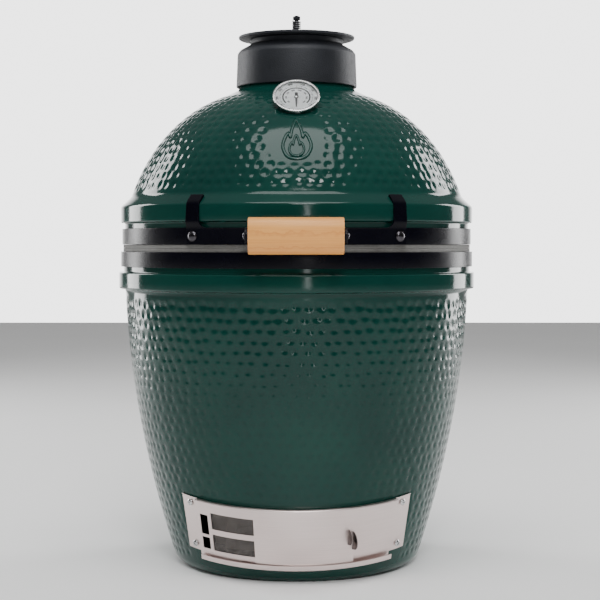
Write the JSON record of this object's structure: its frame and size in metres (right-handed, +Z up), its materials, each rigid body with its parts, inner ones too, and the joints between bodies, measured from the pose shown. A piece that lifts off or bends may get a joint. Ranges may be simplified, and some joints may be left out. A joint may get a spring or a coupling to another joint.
{
  "type": "kamado ceramic grill",
  "caption": "Egg-shaped ceramic charcoal grill with a hinged dome, cast-iron chimney damper, wooden front grip, dial thermometer and a sliding draft door at the foot.",
  "frame": {"origin": "centre of the base's flat bottom, on the vertical axis of the bowl and dome", "axes": "+Z up, -Y to the front (grip, thermometer, draft door), +Y to the hinge, +X to the right of someone facing the front"},
  "size_m": [0.4684, 0.5622, 0.7197],
  "materials": {
    "green_glaze": "gloss",
    "fireclay": "matte",
    "gasket_felt": "matte",
    "silicone_seal": "matte",
    "black_enamel": "gloss",
    "cast_iron": "satin",
    "stainless": "satin",
    "bright_zinc": "polished",
    "spring_steel": "satin",
    "grid_wire": "satin",
    "screen_wire": "satin",
    "beech": "satin",
    "dial_white": "satin",
    "gauge_glass": "gloss",
    "needle_black": "satin"
  },
  "bodies": {
    "base": {"base_shell": "green_glaze", "fire_box": "fireclay", "fire_ring": "fireclay", "fire_grate": "cast_iron", "lower_gasket": "gasket_felt", "lower_band": "black_enamel", "lower_hinge_bracket": "black_enamel", "lower_bracket_bolt_left": "bright_zinc", "lower_bracket_bolt_right": "bright_zinc", "hinge_bolt": "bright_zinc", "hinge_nut": "bright_zinc", "hinge_spacer": "bright_zinc", "hinge_spring_left": "spring_steel", "hinge_spring_right": "spring_steel", "draft_frame": "stainless", "draft_screw_upper_left": "bright_zinc", "draft_screw_upper_right": "bright_zinc", "draft_screw_lower_left": "bright_zinc", "draft_screw_lower_right": "bright_zinc"},
    "dome": {"dome_shell": "green_glaze", "upper_gasket": "gasket_felt", "upper_band": "black_enamel", "upper_hinge_bracket": "black_enamel", "upper_bracket_bolt_left": "bright_zinc", "upper_bracket_bolt_right": "bright_zinc", "handle_bracket_left": "black_enamel", "handle_bracket_right": "black_enamel", "handle_bolt_left": "bright_zinc", "handle_bolt_right": "bright_zinc", "handle_grip": "beech", "handle_screw_left": "bright_zinc", "handle_screw_right": "bright_zinc", "thermometer_case": "bright_zinc", "thermometer_dial": "dial_white", "thermometer_lens": "gauge_glass", "thermometer_stem": "bright_zinc", "thermometer_clip": "bright_zinc"},
    "needle": {"thermometer_needle": "needle_black"},
    "chimney_top": {"regulator_collar": "cast_iron", "chimney_seal": "silicone_seal", "pivot_bolt": "cast_iron", "damper_spring": "spring_steel", "damper_nut": "cast_iron"},
    "damper": {"damper_disc": "cast_iron"},
    "draft_door": {"draft_door": "stainless"},
    "ash_screen": {"screen_frame": "stainless", "screen_mesh": "screen_wire"},
    "cooking_grid": {"cooking_grid": "grid_wire"}
  },
  "joints": [
    {"name": "dome_hinge", "type": "hinge", "parent": "base", "child": "dome", "pos_m": [0, 0.265, 0.4132], "axis": [-1, 0, 0], "range_deg": [0, 75], "stiffness_Nm_per_rad": 10, "springref_deg": 74.48, "deforming": ["hinge_spring_left", "hinge_spring_right"]},
    {"name": "cap_lift", "type": "slide", "parent": "dome", "child": "chimney_top", "axis": [0, 0, 1], "range_m": [0, 0.08]},
    {"name": "damper_turn", "type": "hinge", "parent": "chimney_top", "child": "damper", "pos_m": [0, 0, 0.6877], "axis": [0, 0, 1], "continuous": true},
    {"name": "needle_turn", "type": "hinge", "parent": "dome", "child": "needle", "pos_m": [0, -0.14048, 0.60225], "axis": [0, -0.7314, 0.682], "range_deg": [-300, 0], "stiffness_Nm_per_rad": 0.0002},
    {"name": "draft_slide", "type": "hinge", "parent": "base", "child": "draft_door", "pos_m": [0, 0.005, 0.08632], "axis": [0, -0.1599, 0.9871], "range_deg": [-25, 17.5]},
    {"name": "screen_slide", "type": "hinge", "parent": "base", "child": "ash_screen", "pos_m": [0, 0.005, 0.08632], "axis": [0, -0.1599, 0.9871], "range_deg": [0, 43]},
    {"name": "grid_lift", "type": "slide", "parent": "base", "child": "cooking_grid", "axis": [0, 0, 1], "range_m": [0, 0.06]}
  ]
}
